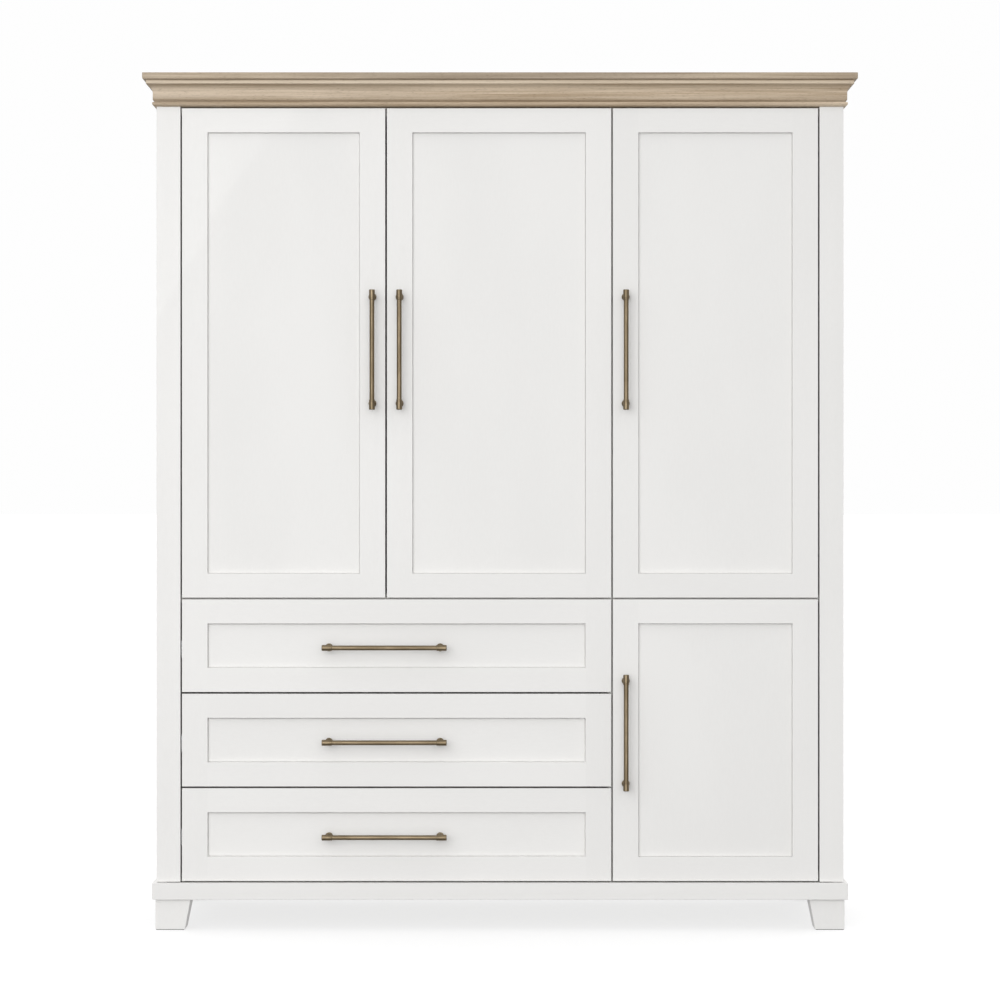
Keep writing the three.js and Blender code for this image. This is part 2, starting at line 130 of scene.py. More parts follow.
class Finish:
    """A material and its Principled shader; the named numbers are constant over the surface."""

    def __init__(self, name, **constants):
        self.material = bpy.data.materials.new(name)
        self.material.use_nodes = True
        self.tree = self.material.node_tree
        self.shader = self.tree.nodes["Principled BSDF"]
        for socket, value in constants.items():
            self.shader.inputs[socket.replace("_", " ")].default_value = value

    def node(self, kind, settings, sockets, output=0):
        """Adds a node: its settings first, then the values or links of its sockets."""
        made = self.tree.nodes.new(kind)
        for key, value in settings.items():
            setattr(made, key, value)
        for key, value in sockets.items():
            self.feed(made.inputs[key], value)
        return Value(self, made.outputs[output])

    def feed(self, socket, value):
        """Links a value to a socket, or sets the number or colour there."""
        if isinstance(value, Value):
            self.tree.links.new(value.socket, socket)
        else:
            socket.default_value = value

    def own(self):
        """The piece's own coordinates, which run along its grain."""
        return self.node("ShaderNodeAttribute", {"attribute_name": "board"}, {}, output=1)

    def stretched(self, vector, along, across):
        """Coordinates for a pattern with so many marks to the metre along the grain and across it."""
        scale = {0: vector, 1: (along, across, across)}
        return self.node("ShaderNodeVectorMath", {"operation": "MULTIPLY"}, scale)

    def noise(self, vector, detail=2.0, roughness=0.5, distortion=0.0):
        """Cloudy noise between 0 and 1 with a mean near 0.5."""
        sockets = {"Vector": vector, "Scale": 1.0, "Detail": detail}
        sockets.update({"Roughness": roughness, "Distortion": distortion})
        return self.node("ShaderNodeTexNoise", {}, sockets)

    def between(self, value, low, high):
        """0 below low, 1 above high, and a smooth step from one to the other."""
        settings = {"interpolation_type": "SMOOTHSTEP"}
        return self.node("ShaderNodeMapRange", settings, {0: value, 1: low, 2: high})

    def mix(self, factor, a, b):
        """Colour a where the factor is 0, colour b where it is 1."""
        return self.node("ShaderNodeMix", {"data_type": "RGBA"}, {0: factor, 6: a, 7: b}, output=2)

    def wear(self, color, roughness, height, depth):
        """Feeds the shader: its colour, its roughness, and a bump of that depth from the height."""
        bump = self.node("ShaderNodeBump", {}, {"Strength": 1.0, "Distance": depth, "Height": height})
        for socket, value in (("Base Color", color), ("Roughness", roughness), ("Normal", bump)):
            self.feed(self.shader.inputs[socket], value)
        return self.material


def chip(red, green, blue):
    """A colour as on a paint chip, 0 to 255, turned into the linear colour that a shader takes."""
    linear = []
    for part in (red, green, blue):
        share = part / 255
        linear.append(share / 12.92 if share <= 0.04045 else ((share + 0.055) / 1.055) ** 2.4)
    return (*linear, 1.0)


print("white chip:", [round(part, 3) for part in chip(238, 237, 234)])

# %% [markdown]
# ## White satin paint
#
# The case is sprayed, so up close it shows a fine orange peel, and on the solid rails and stiles the
# grain still telegraphs through. Both are bump, at real depths of hundredths of a millimetre. The
# colour drifts by less than three per cent. A flat white would look like plastic, and a strong
# pattern would look like bare wood.

# %% White satin paint
PAINT_DRIFT = 0.972


def satin_paint(name, color, sheen, grain_depth):
    """Sprayed paint. The grain depth is how much of the wood under it still shows."""
    finish = Finish(name, Roughness=sheen, IOR=1.46)
    board = finish.own()
    drift = finish.noise(finish.stretched(board, 1.6, 4.0), detail=3.0)
    peel = finish.noise(finish.stretched(board, 620.0, 620.0), detail=1.0)
    grain = finish.noise(finish.stretched(board, 9.0, 520.0), detail=4.0, roughness=0.62)
    fine = finish.noise(finish.stretched(board, 60.0, 240.0), detail=2.0)
    shade = [part * PAINT_DRIFT for part in color[:3]] + [1.0]
    tone = finish.mix(finish.between(drift * 0.75 + fine * 0.25, 0.36, 0.66), color, shade)
    gloss = sheen - 0.06 + drift * 0.08 + fine * 0.05
    height = peel * 0.35 + grain * grain_depth
    return finish.wear(tone, gloss, height, depth=0.05 * MM)


WHITE = chip(235, 234, 232)
paint = satin_paint("satin_white_paint", WHITE, 0.42, 0.55)
board_paint = satin_paint("satin_white_on_board", WHITE, 0.44, 0.08)
inside_paint = satin_paint("flat_white_inside", chip(232, 231, 227), 0.55, 0.06)
print("paints:", paint.name, board_paint.name, inside_paint.name)

# %% [markdown]
# ## Driftwood oak
#
# Oak is streaky because its growth rings are cut lengthwise, and it is pitted with long open pores.
# The stain greys the wood and stays darker in the pores. So there are three layers: slow bands of tone
# many times longer than wide, fine streaks over them, and short dark pores that are also dents.

# %% Driftwood oak
def driftwood_oak(name, pale, deep, grey_share, painted_shading=None):
    """Greyed oak: slow bands, fine streaks and open pores. Painted shade and a painted highlight may be
    laid along its mouldings.
    """
    finish = Finish(name, Roughness=0.58, IOR=1.48)
    board = finish.own()
    bands = finish.noise(finish.stretched(board, 1.3, 46.0), detail=3.0, roughness=0.55, distortion=0.35)
    streaks = finish.noise(finish.stretched(board, 5.0, 420.0), detail=4.0, roughness=0.6)
    cloud = finish.noise(finish.stretched(board, 1.1, 5.0), detail=2.0)
    pores = finish.noise(finish.stretched(board, 95.0, 1500.0), detail=1.0)
    pore = finish.between(pores, 0.61, 0.72)
    tone = finish.between(bands * 0.62 + streaks * 0.38, 0.34, 0.66)
    stained = finish.mix(tone, deep, pale)
    greyed = finish.mix(finish.between(cloud, 0.42, 0.68) * grey_share, stained, chip(178, 166, 152))
    pitted = finish.mix(pore * 0.45, greyed, chip(108, 90, 70))
    if painted_shading:
        pitted = painted_shading(finish, pitted)
    gloss = 0.66 - tone * 0.1 + pore * 0.12
    height = 1.0 - pore * 0.8 + streaks * 0.35
    return finish.wear(pitted, gloss, height, depth=0.12 * MM)


CROWN_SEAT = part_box("crown_front")[0].z
# Painted shade: brown darkening, by height over the seat in mm, in the quirk over the bead, at the foot of
# the frieze, at the top of the cove and in the corner under the cap, where shade falls.
PAINTED_SHADE = {
    "quirk over the bead": (8.8, 10.6, 12.2, 14.0, 0.55),
    "foot of the frieze": (13.0, 14.8, 15.5, 29.0, 0.26),
    "top of the cove": (37.0, 45.6, 46.6, 47.2, 0.36),
    "corner under the cap": (53.4, 55.4, 60.0, 61.0, 0.6),
}
# Painted highlight: a paler band on the fillet under the cap, by height over the seat in mm.
PAINTED_HIGHLIGHT = (46.8, 47.6, 52.6, 54.0)


def painted_shade_in_mouldings(finish, color):
    """Painted shade in the hollows, by height over the seat in mm, and a painted highlight on a fillet."""
    place = finish.node("ShaderNodeTexCoord", {}, {}, output=3)
    rise = finish.node("ShaderNodeSeparateXYZ", {}, {0: place}, output=2) - CROWN_SEAT

    def band(start, full, fading, end):
        return finish.between(rise, start * MM, full * MM) - finish.between(rise, fading * MM, end * MM)

    # Painted shade: the bands add up and turn the oak towards a dark brown.
    painted_dark = 0.0
    for *heights, amount in PAINTED_SHADE.values():
        painted_dark = painted_dark + band(*heights) * amount
    # Painted highlight: the fillet is mixed towards a pale oak.
    rubbed_and_highlight = finish.mix(band(*PAINTED_HIGHLIGHT) * 0.45, color, chip(238, 224, 202))
    return finish.mix(painted_dark, rubbed_and_highlight, chip(112, 92, 66))


oak = driftwood_oak("driftwood_oak", chip(197, 180, 156), chip(148, 129, 104), 0.5)
# The moulding's oak carries painted shade in its hollows and a painted highlight on a fillet.
crown_oak = driftwood_oak(
    "driftwood_oak_moulding", chip(222, 204, 180), chip(172, 150, 122), 0.25, painted_shade_in_mouldings,
)
print("oaks:", oak.name, crown_oak.name)

# %% [markdown]
# ## Metals, birch and the small plastics
#
# Aged brass is darkened by a chemical and then rubbed, so it is brown with lighter, smoother places
# where a hand would polish it, and hair lines along the bar. Zinc plate is nearly even. The birch of
# the drawer boxes has a close grain and a clear lacquer. Each has its marks at their real spacing.

# %% Metals
def aged_brass():
    """Brown brass with rubbed places and hair lines along the bar."""
    finish = Finish("aged_brass", Metallic=1.0, Roughness=0.36)
    bar = finish.own()
    patina = finish.noise(finish.stretched(bar, 16.0, 90.0), detail=4.0, roughness=0.6)
    hair = finish.noise(finish.stretched(bar, 40.0, 2600.0), detail=2.0)
    rubbed_and_highlight = finish.between(patina, 0.36, 0.68)
    tone = finish.mix(rubbed_and_highlight, chip(114, 100, 78), chip(135, 120, 97))
    lined = finish.mix(finish.between(hair, 0.35, 0.7) * 0.3, tone, chip(158, 144, 120))
    gloss = 0.4 - rubbed_and_highlight * 0.06 + hair * 0.06
    return finish.wear(lined, gloss, hair * 0.5 + patina * 0.5, depth=0.02 * MM)


def zinc_plate():
    """Bright zinc on steel, with faint rolling lines."""
    finish = Finish("zinc_plate", Metallic=1.0, Roughness=0.3)
    strip = finish.own()
    lines = finish.noise(finish.stretched(strip, 8.0, 1400.0), detail=2.0)
    cloud = finish.noise(finish.stretched(strip, 35.0, 50.0), detail=3.0)
    tone = finish.mix(finish.between(cloud, 0.35, 0.7), chip(186, 188, 191), chip(208, 209, 208))
    return finish.wear(tone, 0.24 + cloud * 0.1 + lines * 0.08, lines, depth=0.02 * MM)


brass = aged_brass()
zinc = zinc_plate()
print("metals:", brass.name, zinc.name)


# %% Birch, felt and soft plastic
def lacquered_birch():
    """Pale birch with a close grain under a clear lacquer."""
    finish = Finish("lacquered_birch", Roughness=0.4, IOR=1.5)
    board = finish.own()
    bands = finish.noise(finish.stretched(board, 1.8, 30.0), detail=3.0, distortion=0.6)
    streaks = finish.noise(finish.stretched(board, 12.0, 700.0), detail=3.0)
    flecks = finish.between(finish.noise(finish.stretched(board, 160.0, 900.0), detail=1.0), 0.62, 0.74)
    tone = finish.mix(finish.between(bands, 0.34, 0.68), chip(214, 190, 152), chip(230, 210, 178))
    lined = finish.mix(finish.between(streaks, 0.5, 0.8) * 0.45, tone, chip(196, 168, 128))
    flecked = finish.mix(flecks * 0.3, lined, chip(172, 142, 104))
    return finish.wear(flecked, 0.36 + streaks * 0.1, streaks, depth=0.03 * MM)


SPECK_SHADE = 0.8


def small_plastic(name, color, gloss, marks, depth):
    """Felt or moulded plastic: one colour with the fine marks of the material."""
    finish = Finish(name, Roughness=gloss)
    own = finish.own()
    speck = finish.noise(finish.stretched(own, marks, marks), detail=3.0)
    shade = [part * SPECK_SHADE for part in color[:3]] + [1.0]
    return finish.wear(finish.mix(speck, color, shade), gloss - 0.05 + speck * 0.1, speck, depth)


birch = lacquered_birch()
# Dark felt for the pads under the feet: a real felt, whose dark colour also paints the contact shadow
# under each foot.
felt_and_painted_shadow = small_plastic("grey_felt_and_painted_shadow", chip(92, 90, 87), 0.9, 1800.0, 0.3 * MM)
soft_plastic = small_plastic("clear_bumper", chip(226, 226, 222), 0.3, 300.0, 0.02 * MM)
print("others:", birch.name, felt_and_painted_shadow.name, soft_plastic.name)

# %% [markdown]
# ## Shapes: boards and turned pieces
#
# Nearly everything here is a board or something turned on a lathe. A board is a cube that is scaled,
# put in its place, and has its edges eased with a bevel, because no real edge is perfectly sharp and the
# thin highlight on it is what tells the eye that it is solid. A turned piece is half an outline spun
# round an axis.

# %% Boards
dice = random.Random(11)
AXES = {"x": (1, 0, 0), "-x": (-1, 0, 0), "y": (0, 1, 0), "-y": (0, -1, 0), "z": (0, 0, 1)}
SHARP = math.radians(32)


def ease(bm, width, segments=2):
    """Bevels every edge that is sharper than the facets of a curve."""
    edges = [edge for edge in bm.edges if edge.is_manifold and edge.calc_face_angle() > SHARP]
    bmesh.ops.bevel(
        bm, geom=edges, offset=width, segments=segments, profile=0.5,
        affect="EDGES", material=-1, clamp_overlap=True,
    )
    return bm


def block(low, high):
    """A square-edged board between two corners."""
    low = Vector(low)
    high = Vector(high)
    bm = bmesh.new()
    bmesh.ops.create_cube(bm, size=1)
    bmesh.ops.scale(bm, vec=high - low, verts=bm.verts)
    bmesh.ops.translate(bm, vec=(low + high) / 2, verts=bm.verts)
    return bm


def whole_faces(bm):
    """Makes the flat faces whole again where they are cut into triangles."""
    bmesh.ops.dissolve_limit(bm, angle_limit=math.radians(1), verts=bm.verts, edges=bm.edges)
    return bm


def copy_of(node, whole=True):
    """A frame solid with its loose triangles welded."""
    bm = bmesh.new()
    bm.from_mesh(frame["nodes"][node].data)
    bmesh.ops.remove_doubles(bm, verts=bm.verts, dist=0.02 * MM)
    return whole_faces(bm) if whole else bm


def saw(bm, point, away):
    """Cuts off what lies beyond a plane and closes the cut."""
    parts = list(bm.verts) + list(bm.edges) + list(bm.faces)
    cut = bmesh.ops.bisect_plane(
        bm, geom=parts, plane_co=point, plane_no=away, dist=0.001 * MM, clear_outer=True,
    )
    edges = [item for item in cut["geom_cut"] if isinstance(item, bmesh.types.BMEdge)]
    bmesh.ops.holes_fill(bm, edges=edges, sides=0)
    return bm


print("a test board has", len(ease(block((0, 0, 0), (1, 0.1, 0.02)), MM).faces), "faces")


# %% Turned pieces
def standing(point, axis):
    """The matrix that takes a piece turned about Z to a point and lets it point along an axis."""
    turn = Vector(AXES[axis]).to_track_quat("Z", "Y").to_matrix().to_4x4()
    return Matrix.Translation(point) @ turn


def turned(outline, point, axis, steps):
    """Spins an outline of (radius, height) in millimetres and stands it at a point."""
    bm = bmesh.new()
    corners = [bm.verts.new((radius * MM, 0, height * MM)) for radius, height in outline]
    edges = [bm.edges.new(pair) for pair in zip(corners, corners[1:])]
    bmesh.ops.spin(
        bm, geom=corners + edges, cent=(0, 0, 0), axis=(0, 0, 1), dvec=(0, 0, 0),
        angle=math.tau, steps=steps, use_merge=True, use_duplicate=False,
    )
    bmesh.ops.remove_doubles(bm, verts=bm.verts, dist=0.001 * MM)
    bmesh.ops.recalc_face_normals(bm, faces=bm.faces)
    bmesh.ops.transform(bm, matrix=standing(point, axis), verts=bm.verts)
    return bm


def pin(radius, length, point, axis, round_over=0.4, steps=20):
    """A plain rod with both ends rounded over."""
    outline = [
        (0, 0), (radius - round_over, 0), (radius, round_over),
        (radius, length - round_over), (radius - round_over, length), (0, length),
    ]
    return turned(outline, point, axis, steps)


print("a test pin has", len(pin(5, 20, (0, 0, 0), "z").faces), "faces")

# %% [markdown]
# ## From shapes to finished pieces
#
# Each board carries its own coordinates in an attribute: the first number runs along the grain, and a
# random shift keeps two boards from sharing one figure. They are stored on face corners, so that a
# rail's grain can stop dead against a stile. The alternative, one pattern on world coordinates, would
# run grain straight through the joints.

# %% Grain coordinates and finished pieces
ORDER = {"x": (0, 1, 2), "y": (1, 0, 2), "z": (2, 0, 1)}
CREASE = math.radians(50)
BOARD_EDGE = 0.8 * MM


def grain(bm, pick):
    """Writes the board coordinates. Pick is an axis, or a function from a face's middle to an axis."""
    layer = bm.loops.layers.float_vector.new("board")
    shifts = {axis: Vector([dice.uniform(0, 40) for _ in range(3)]) for axis in ORDER}
    for face in bm.faces:
        axis = pick if isinstance(pick, str) else pick(face.calc_center_median())
        for loop in face.loops:
            loop[layer] = Vector([loop.vert.co[i] for i in ORDER[axis]]) + shifts[axis]
    return bm


def mesh_of(bm, name):
    """A bmesh as a mesh; the bmesh is let go."""
    mesh = bpy.data.meshes.new(name)
    bm.to_mesh(mesh)
    bm.free()
    return mesh


def gathered(shapes):
    """Several shapes in one bmesh."""
    whole = bmesh.new()
    for shape in shapes:
        mesh = mesh_of(shape, "shape")
        whole.from_mesh(mesh)
        bpy.data.meshes.remove(mesh)
    return whole


def finished(name, parts, material, body, replaces=()):
    """Joins shapes into one piece with its material, rides it on a body if one is given, and hides the
    solids it stands for.
    """
    mesh = mesh_of(gathered(parts), name)
    mesh.materials.append(material)
    mesh.shade_smooth()
    mesh.set_sharp_from_angle(angle=CREASE)
    piece = bpy.data.objects.new(name, mesh)
    scene.collection.objects.link(piece)
    normals = piece.modifiers.new("flat faces stay flat", "WEIGHTED_NORMAL")
    normals.keep_sharp = True
    if body:
        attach(piece, body)
    if replaces:
        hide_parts(*replaces)
    return piece


def plank(node, along, material, width=BOARD_EDGE):
    """A painted board of the case, made again with eased edges and its grain along an axis."""
    shape = grain(ease(block(*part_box(node)), width), along)
    return finished(f"{node}_made", [shape], material, "case", [node])


# %% [markdown]
# ## Milling with a cutter
#
# Grooves, hinge cups and rows of holes are real cuts. Blender's Boolean modifier does what the router
# does: it takes the cutter's shape out of the stock. It is applied at once, and the cut stock comes
# back as a mesh.

# %% Cutting one shape out of another
def loose_object(bm):
    """A bmesh as an object, for as long as the cut takes."""
    item = bpy.data.objects.new("loose", mesh_of(bm, "loose"))
    scene.collection.objects.link(item)
    return item


def carve(stock, cutter):
    """The stock without what the cutter goes through."""
    stock = loose_object(stock)
    cutter = loose_object(cutter)
    cut = stock.modifiers.new("cut", "BOOLEAN")
    cut.object = cutter
    cut.solver = "EXACT"
    result = bmesh.new()
    result.from_object(stock, bpy.context.evaluated_depsgraph_get())
    for item in (stock, cutter):
        mesh = item.data
        bpy.data.objects.remove(item)
        bpy.data.meshes.remove(mesh)
    return result


test_cut = carve(block((0, 0, 0), (1, 1, 1)), block((0.4, 0.4, 0.5), (0.6, 0.6, 2)))
print("a test cut has", len(test_cut.faces), "faces")

# %% [markdown]
# ## Screws
#
# A cabinet shows dozens of screw heads once its doors are open. One good head, a low dome with a cross
# cut into it, is modelled once at full size and then copied, scaled and stood where it is needed.
# It is turned in few steps, because every copy adds its faces to the cabinet.

# %% One screw head, copied where it is needed
HEAD_RADIUS = 4.0
HEAD_HEIGHT = 1.5


def first_screw():
    """A pan head with a cross recess, standing on the origin."""
    dome = [(0, 0), (HEAD_RADIUS, 0), (HEAD_RADIUS, 0.4), (3.3, 1.1), (1.8, HEAD_HEIGHT), (0, HEAD_HEIGHT)]
    head = turned(dome, (0, 0, 0), "z", steps=16)
    long, thin, deep = 2.4 * MM, 0.42 * MM, 0.5 * MM
    for wide, tall in ((long, thin), (thin, long)):
        head = carve(head, block((-wide, -tall, deep), (wide, tall, 2 * HEAD_HEIGHT * MM)))
    return mesh_of(head, "screw head")


screw_mesh = first_screw()


def screw(point, axis, size=1.0):
    """A screw head that lies on a surface at a point and faces along an axis."""
    bm = bmesh.new()
    bm.from_mesh(screw_mesh)
    turn = Matrix.Rotation(dice.uniform(0, math.pi), 4, "Z")
    place = standing(point, axis) @ turn @ Matrix.Scale(size, 4)
    bmesh.ops.transform(bm, matrix=place, verts=bm.verts)
    return bm


def hardware(name, shapes, material, body, replaces=(), along="y"):
    """Fittings made of several small shapes, finished as one piece."""
    return finished(name, [grain(gathered(shapes), along)], material, body, replaces)


print("a screw head has", len(screw_mesh.polygons), "faces")

# %% [markdown]
# ## The base
#
# Four feet carry a flat mitred frame. Each foot is upright outside and leans in on its two inner faces.
# It stands on a pad of dark felt, nearly as wide as the sole in front, whose dark colour paints the thin
# contact shadow under it, and set well in at the rear, where nobody sees it. The frame is sawn from its
# solid along the mitres, four lengths that meet at 45 degrees, so that each gets its own grain and the
# joints show as hair lines.

# %% Feet and their felt pads
PAD_HEIGHT = 1.2 * MM
PAD_INSET = {"front": 1.4 * MM, "rear": 12 * MM}
PAD_SUNK = 0.6 * MM
PAD_EDGE = 0.2 * MM
FOOT_EDGE = 0.8 * MM
PLINTH_EDGE = 0.9 * MM


def felt_pad(foot, inset):
    """A pad smaller than the sole of a foot by an inset all round, and let into it."""
    sole = [vert.co for vert in frame["nodes"][foot].data.vertices if vert.co.z < PAD_HEIGHT]
    low = Vector((min(co.x for co in sole) + inset, min(co.y for co in sole) + inset, 0))
    high = Vector((max(co.x for co in sole) - inset, max(co.y for co in sole) - inset, 0))
    high.z = PAD_HEIGHT + PAD_SUNK
    return grain(ease(block(low, high), PAD_EDGE), "x")


for side in ("left", "right"):
    for end in ("front", "rear"):
        foot = f"{end}_{side}_foot"
        shape = ease(saw(copy_of(foot), (0, 0, PAD_HEIGHT), (0, 0, -1)), FOOT_EDGE, 3)
        finished(f"{foot}_made", [grain(shape, "z")], paint, "case", [foot])
        # The dark felt pad paints the thin contact shadow under the foot.
        finished(f"{foot}_pad", [felt_pad(foot, PAD_INSET[end])], felt_and_painted_shadow, "case")
print("feet stand on pads of", round(PAD_HEIGHT / MM, 1), "mm")


# %% Plinth with mitred corners
def mitred_plinth():
    """The four lengths of the plinth, each sawn from the whole frame."""
    low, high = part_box("plinth_frame")
    middle = (low + high) / 2
    near_left, near_right = (low.x, low.y, 0), (high.x, low.y, 0)
    far_left, far_right = (low.x, high.y, 0), (high.x, high.y, 0)
    cuts = {
        "front": ("x", [(near_left, (-1, 1, 0)), (near_right, (1, 1, 0)), (middle, (0, 1, 0))]),
        "rear": ("x", [(far_left, (-1, -1, 0)), (far_right, (1, -1, 0)), (middle, (0, -1, 0))]),
        "left": ("y", [(near_left, (1, -1, 0)), (far_left, (1, 1, 0)), (middle, (1, 0, 0))]),
        "right": ("y", [(near_right, (-1, -1, 0)), (far_right, (-1, 1, 0)), (middle, (-1, 0, 0))]),
    }
    lengths = []
    for axis, planes in cuts.values():
        length = copy_of("plinth_frame", whole=False)
        for point, away in planes:
            saw(length, point, away)
        lengths.append(grain(ease(whole_faces(length), PLINTH_EDGE), axis))
    return lengths


plinth = finished("plinth_made", mitred_plinth(), paint, "case", ["plinth_frame"])
print("plinth:", len(plinth.data.polygons), "faces")

# %% [markdown]
# ## The ends of the case
#
# Each end is a frame of two posts and two rails with a thin panel let into a groove. The members are
# made as separate sticks and the groove is milled with the panel's own shape, a third of a
# millimetre larger, which is the play a joiner leaves so that the panel can move with the weather.
# Where the end stands on the plinth, a fine rebate runs round it and draws a dark line.

# %% End frames and their panels
GROOVE = 9 * MM
PLAY = 0.3 * MM
END_RAIL = 22 * MM
EASED = 0.45 * MM
FINE = 0.5 * MM
REBATE_HEIGHT = 1.6 * MM
REBATE_DEPTH = 5 * MM
REBATE_CLEAR = 1 * MM
REBATE_EDGE = 0.1 * MM
play = Vector((PLAY, PLAY, PLAY))


def span(a, b):
    """Two places in rising order."""
    return min(a, b), max(a, b)


def stick(x, y, z, along, groove_for=None, width=EASED):
    """A stick of a frame from its three spans, milled for a panel and with its grain along an axis."""
    low, high = zip(span(*x), span(*y), span(*z))
    shape = ease(block(low, high), width)
    if groove_for:
        panel_low, panel_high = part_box(groove_for)
        shape = carve(shape, block(panel_low - play, panel_high + play))
    return grain(shape, along)


def end_frame(side):
    """Two posts and two rails of one end."""
    low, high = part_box(f"{side}_end_frame")
    panel = f"{side}_end_panel"
    panel_low, panel_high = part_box(panel)
    lining_low, lining_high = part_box(f"{side}_lining")
    outer, lining_in, lining_out, inward = high.x, lining_low.x, lining_high.x, -1
    if side == "left":
        outer, lining_in, lining_out, inward = low.x, lining_high.x, lining_low.x, 1
    front_post = (low.y, panel_low.y + GROOVE)
    rear_post = (panel_high.y - GROOVE, high.y)
    between = (front_post[1], rear_post[0])
    start = low.z + REBATE_HEIGHT
    tall = (start, high.z)
    bottom = (start, panel_low.z + GROOVE)
    top = (panel_high.z - GROOVE, high.z)
    rail = (outer, outer + inward * END_RAIL)
    set_back = (outer + inward * REBATE_DEPTH, outer + inward * (END_RAIL - REBATE_CLEAR))
    run = (low.y + REBATE_DEPTH, high.y - REBATE_CLEAR)
    return [
        stick((outer, lining_in), front_post, tall, "z", panel),
        stick((outer, lining_out), rear_post, tall, "z", panel),
        stick(rail, between, bottom, "y", panel, FINE),
        stick(rail, between, top, "y", panel, FINE),
        stick(set_back, run, (low.z, start + REBATE_CLEAR), "y", width=REBATE_EDGE),
    ]


for side in ("left", "right"):
    node = f"{side}_end_frame"
    made = finished(f"{node}_made", end_frame(side), paint, "case", [node])
    plank(f"{side}_end_panel", "z", board_paint)
    print(node, len(made.data.polygons), "faces")

# %% [markdown]
# ## Boards, shelves and their pins
#
# The loose shelves stand on pins in rows of holes 32 mm apart, the spacing of cabinet making, so
# that they can be moved. The holes are milled with one cutter made of many small cylinders. The rows are
# kept to a few holes above and below each shelf, as on the better factory cabinets.

# %% Fixed boards
inside_boards = {
    "bottom_board": "x", "top_board": "x", "wardrobe_floor": "x", "cupboard_divider": "x",
    "left_lining": "z", "back_panel": "z",
}
for node, along in inside_boards.items():
    plank(node, along, inside_paint)
print("fixed boards:", len(inside_boards))

# %% Rows of holes, and the boards that have them
HOLE_PITCH = 32 * MM
HOLE_RADIUS = 2.5
HOLE_DEPTH = 9
HOLES_EACH_WAY = 4
ROW_INSET = 60 * MM
shelves = ["upper_shelf_1", "upper_shelf_2", "lower_shelf"]
rows = (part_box("top_board")[0].y + ROW_INSET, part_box("top_board")[1].y - ROW_INSET)


def drilled(node, face_x, into):
    """A board with the rows of shelf holes, drilled from one of its faces."""
    drills = []
    for shelf in shelves:
        pin_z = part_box(shelf)[0].z - HOLE_RADIUS * MM
        for step in range(-HOLES_EACH_WAY, HOLES_EACH_WAY + 1):
            for y in rows:
                start = (face_x - Vector(AXES[into]).x * MM, y, pin_z + step * HOLE_PITCH)
                drills.append(pin(HOLE_RADIUS, HOLE_DEPTH + 1, start, into, 0.3, 12))
    board = carve(ease(block(*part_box(node)), BOARD_EDGE), gathered(drills))
    return finished(f"{node}_made", [grain(board, "z")], inside_paint, "case", [node])


partition_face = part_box("centre_partition")[1].x
lining_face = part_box("right_lining")[0].x
drilled_boards = (("centre_partition", partition_face, "-x"), ("right_lining", lining_face, "x"))
for node, face_x, into in drilled_boards:
    made = drilled(node, face_x, into)
    print(node, len(made.data.polygons), "faces")

# %% Loose shelves on their pins
SHELF_EDGE = 1.2 * MM
PIN_RADIUS = HOLE_RADIUS - 0.1
PIN_LENGTH = 14
PIN_SUNK = 6
COLLAR_RADIUS = 3.6
COLLAR_THICK = 1.2
for shelf in shelves:
    plank(shelf, "x", inside_paint, SHELF_EDGE)
    pin_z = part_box(shelf)[0].z - HOLE_RADIUS * MM
    pins = []
    for y in rows:
        for face_x, out in ((partition_face, "x"), (lining_face, "-x")):
            start = (face_x - Vector(AXES[out]).x * PIN_SUNK * MM, y, pin_z)
            pins.append(pin(PIN_RADIUS, PIN_LENGTH, start, out))
            pins.append(pin(COLLAR_RADIUS, COLLAR_THICK, (face_x, y, pin_z), out, 0.3))
    hardware(f"{shelf}_pins", pins, zinc, "case", along="x")
print("pins under each shelf:", len(rows) * 2)

# %% [markdown]
# ## Hanging rail
#
# The rail is a steel tube in two sockets, each held to the wood by two screws. The tube is turned as
# a rod, because its ends are inside the sockets, and each socket is a flange with a collar.

# %% Hanging rail and sockets
rail_low, rail_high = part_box("hanging_rail")
rail_middle = (rail_low + rail_high) / 2
rail_radius = (rail_high.z - rail_low.z) / 2 / MM
rail_length = (rail_high.x - rail_low.x) / MM
rail_start = (rail_low.x, rail_middle.y, rail_middle.z)
rail_end = (rail_high.x, rail_middle.y, rail_middle.z)
tube = [grain(pin(rail_radius, rail_length, rail_start, "x", 0.2, 40), "x")]
finished("hanging_rail_made", tube, zinc, "case", ["hanging_rail"])

SOCKET = [
    (0, 0), (23, 0), (23, 1.6), (21.5, 2.4), (15.6, 2.6), (15.2, 3.2),
    (15.2, 13.4), (14.6, 14), (rail_radius, 14), (rail_radius, 2.6), (0, 2.6),
]
FLANGE_SCREW_RISE = 19
FLANGE_FACE = 2.2
for name, point, out in (("left", rail_start, "x"), ("right", rail_end, "-x")):
    shapes = [turned(SOCKET, point, out, 36)]
    for rise in (-FLANGE_SCREW_RISE, FLANGE_SCREW_RISE):
        at = Vector(point) + Vector(AXES[out]) * FLANGE_FACE * MM + Vector((0, 0, rise * MM))
        shapes.append(screw(at, out, 0.7))
    hardware(f"rail_socket_{name}", shapes, zinc, "case", along="z")
print("rail:", round(rail_length), "mm long,", rail_radius * 2, "mm thick")

# %% [markdown]
# ## Cornice
#
# The crown moulding is run in one section and mitred at the two front corners, with a flat cap
# board over it. The section is already right in the frame, so a welded copy with finely eased edges is
# enough. Its grain follows each length, and changes direction at the mitre.

